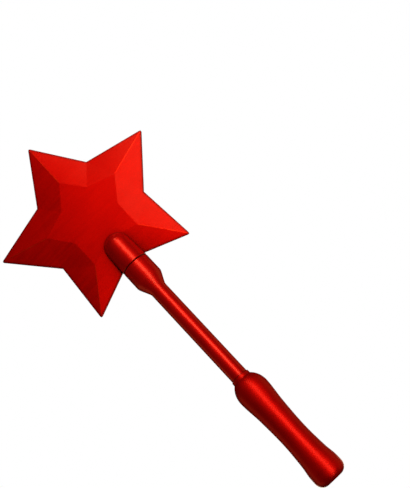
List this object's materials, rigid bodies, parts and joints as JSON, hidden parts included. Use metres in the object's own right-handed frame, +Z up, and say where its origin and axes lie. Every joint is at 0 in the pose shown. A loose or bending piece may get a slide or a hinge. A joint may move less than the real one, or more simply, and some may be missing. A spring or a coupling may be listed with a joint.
{
  "type": "magic wand",
  "caption": "Toy magic wand: a faceted five-point star on a straight stick with a collar and a waisted hand grip.",
  "frame": {"origin": "centre of the flat end of the grip, the lowest point of the wand held upright", "axes": "+Z up the wand towards the star, -Y out of the star's front face, +X to the right seen from the front"},
  "size_m": [0.1312, 0.0226, 0.302],
  "materials": {
    "star_plastic": "smooth moulded plastic with a red metallic sheen",
    "stem_plastic": "glossy red metallic-coated plastic",
    "grip_plastic": "satin-gloss red metallic-coated plastic"
  },
  "bodies": {
    "handle": {"stem": "stem_plastic", "grip": "grip_plastic"},
    "star": {"star_front_shell": "star_plastic", "star_back_shell": "star_plastic"},
    "end_cap": {"end_cap": "grip_plastic"}
  },
  "joints": [
    {"name": "star_turn", "type": "hinge", "parent": "handle", "child": "star", "pos_m": [0, 0, 0.1878], "axis": [0, 0, 1], "continuous": true},
    {"name": "cap_pull", "type": "slide", "parent": "handle", "child": "end_cap", "axis": [0, 0, -1], "range_m": [0, 0.014]}
  ]
}
